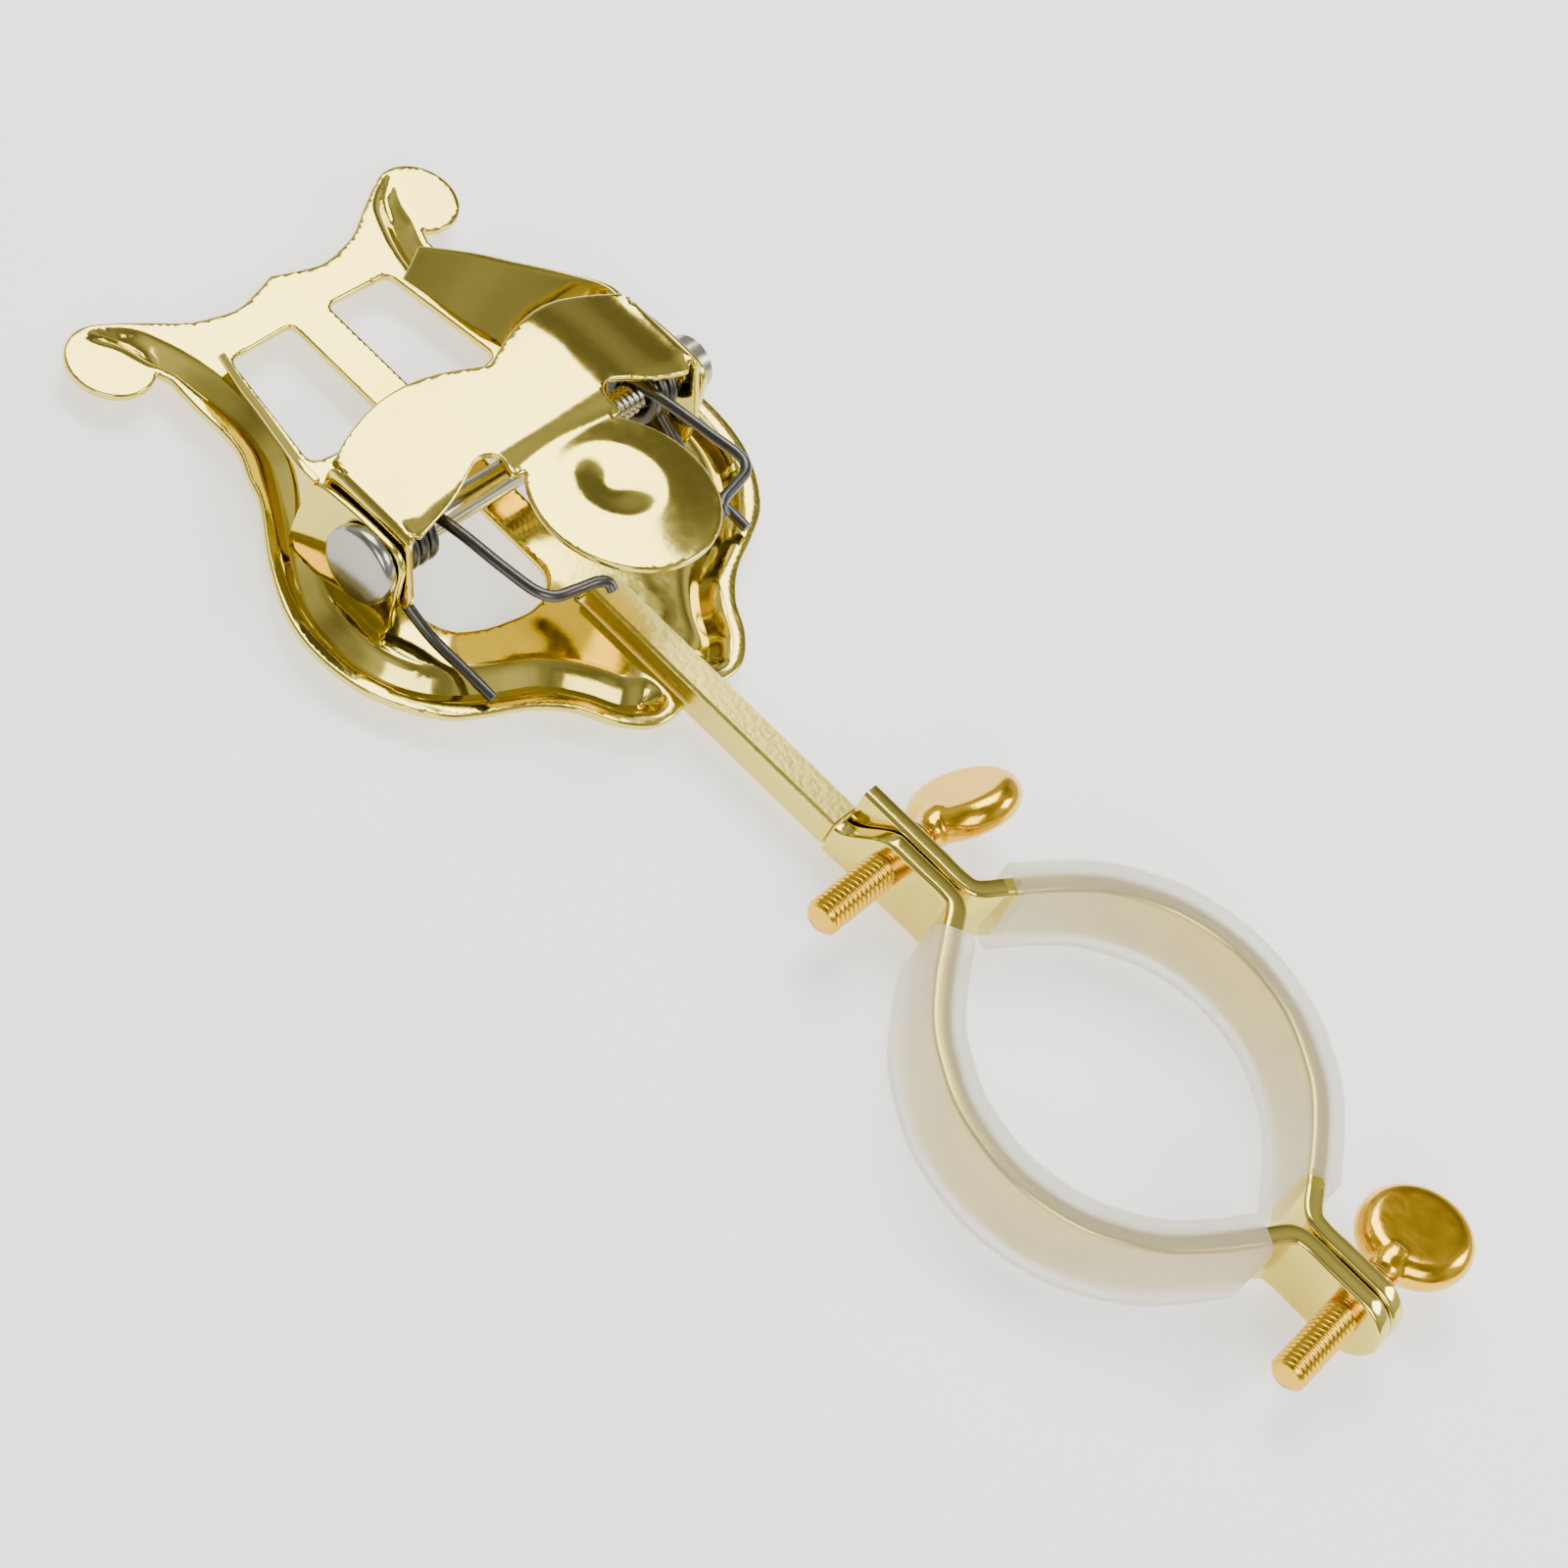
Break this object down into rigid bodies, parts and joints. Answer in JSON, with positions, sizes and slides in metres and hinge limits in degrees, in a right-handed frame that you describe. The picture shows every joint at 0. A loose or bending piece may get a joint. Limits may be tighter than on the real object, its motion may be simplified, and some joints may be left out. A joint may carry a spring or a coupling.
{
  "type": "clamp-on music lyre",
  "caption": "Clamp-on marching music lyre: a lyre-shaped plate with a sprung clip on a square stem, and a two-part sleeved clamp ring closed by thumb screws.",
  "frame": {"origin": "centre of the clamp ring, where the instrument's tube passes", "axes": "+Z along the tube that the ring clamps, towards the clip's side; +Y from the ring along the stem to the lyre"},
  "size_m": [0.0618, 0.1658, 0.0188],
  "materials": {
    "brass_plate": "polished",
    "brass_screw": "satin",
    "steel": "satin",
    "sleeve": "translucent"
  },
  "bodies": {
    "frame": {"lyre_plate": "brass_plate", "stem_bar": "brass_plate", "clamp_band_front": "brass_plate", "sleeve_front": "sleeve", "pivot_screw": "steel", "pivot_nut": "steel", "spring_left": "steel", "spring_right": "steel"},
    "clip": {"clip_flap": "brass_plate"},
    "rear_clamp": {"clamp_band_rear": "brass_plate", "sleeve_rear": "sleeve"},
    "upper_screw": {"upper_thumb_screw": "brass_screw"},
    "lower_screw": {"lower_thumb_screw": "brass_screw"}
  },
  "joints": [
    {"name": "clip_hinge", "type": "hinge", "parent": "frame", "child": "clip", "pos_m": [0, 0.0868, 0.005], "axis": [1, 0, 0], "range_deg": [0, 25], "stiffness_Nm_per_rad": 0.05, "springref_deg": -34.38, "deforming": ["spring_left", "spring_right"]},
    {"name": "rear_band_slide", "type": "slide", "parent": "frame", "child": "rear_clamp", "axis": [1, 0, 0], "range_m": [0, 0.006]},
    {"name": "upper_screw_turn", "type": "hinge", "parent": "rear_clamp", "child": "upper_screw", "pos_m": [0, 0.0313, 0], "axis": [1, 0, 0], "range_deg": [0, 3086]},
    {"name": "lower_screw_turn", "type": "hinge", "parent": "rear_clamp", "child": "lower_screw", "pos_m": [0, -0.0317, 0], "axis": [1, 0, 0], "range_deg": [0, 3086]}
  ],
  "couplings": [
    {"joint": "upper_screw_turn", "follows": "rear_band_slide", "rad_per_m": 8976},
    {"joint": "lower_screw_turn", "follows": "rear_band_slide", "rad_per_m": 8976}
  ]
}
